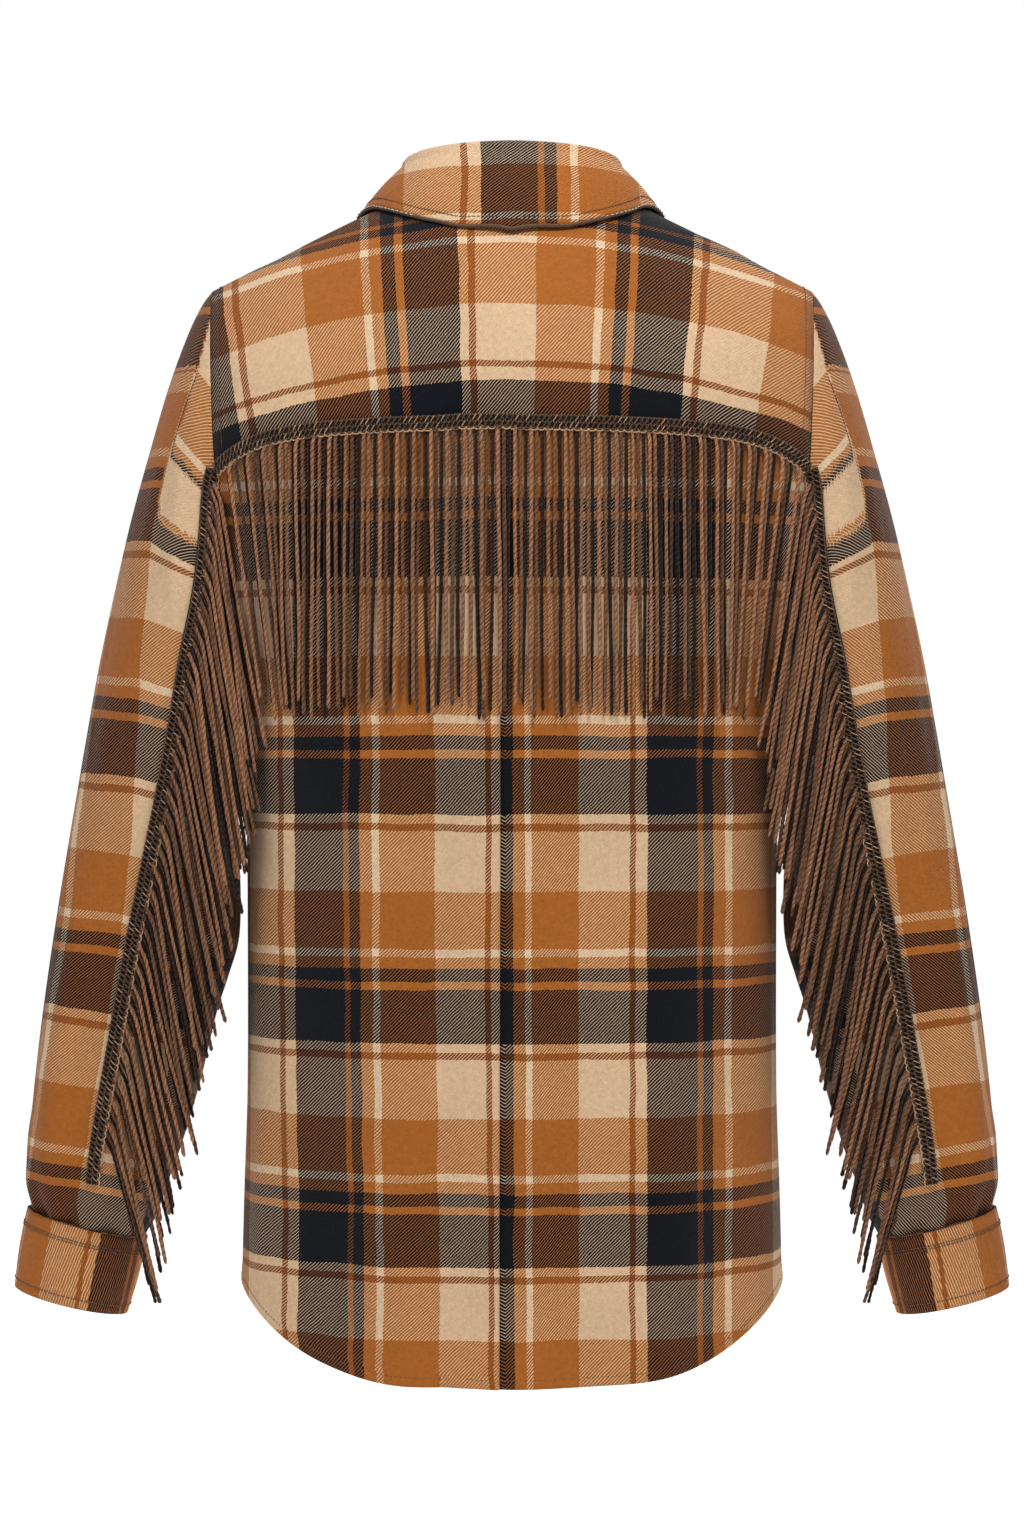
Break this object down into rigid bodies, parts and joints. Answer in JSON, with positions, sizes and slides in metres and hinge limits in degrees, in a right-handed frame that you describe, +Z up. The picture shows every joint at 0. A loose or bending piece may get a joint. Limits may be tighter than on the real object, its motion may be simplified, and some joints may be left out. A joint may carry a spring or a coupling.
{
  "type": "plaid flannel shirt with fringe",
  "caption": "Hollow worn-form plaid button shirt with collar, cuffs, a centre back pleat and corded fringe on the yoke seam and sleeves.",
  "frame": {"origin": "middle of the neck base, where the wearer's shoulders hold the shirt up", "axes": "+Z up, -Y out of the back of the shirt, +X to the wearer's right"},
  "size_m": [0.64, 0.2576, 0.7672],
  "materials": {
    "flannel": "brushed cotton twill, woven plaid",
    "fringe": "twisted matte cord with a crocheted braid",
    "button": "polished resin"
  },
  "bodies": {
    "root": {"back_yoke": "flannel", "back_panel": "flannel", "front_right": "flannel", "front_left": "flannel", "front_placket": "flannel", "collar_stand": "flannel", "collar_leaf": "flannel", "sleeve_right": "flannel", "sleeve_left": "flannel", "cuff_right": "flannel", "cuff_left": "flannel", "fringe_back": "fringe", "fringe_sleeve_right": "fringe", "fringe_sleeve_left": "fringe", "front_button_1": "button", "front_button_2": "button", "front_button_3": "button", "front_button_4": "button", "front_button_5": "button", "front_button_6": "button", "collar_button": "button", "cuff_button_right": "button", "cuff_button_left": "button"}
  },
  "joints": []
}
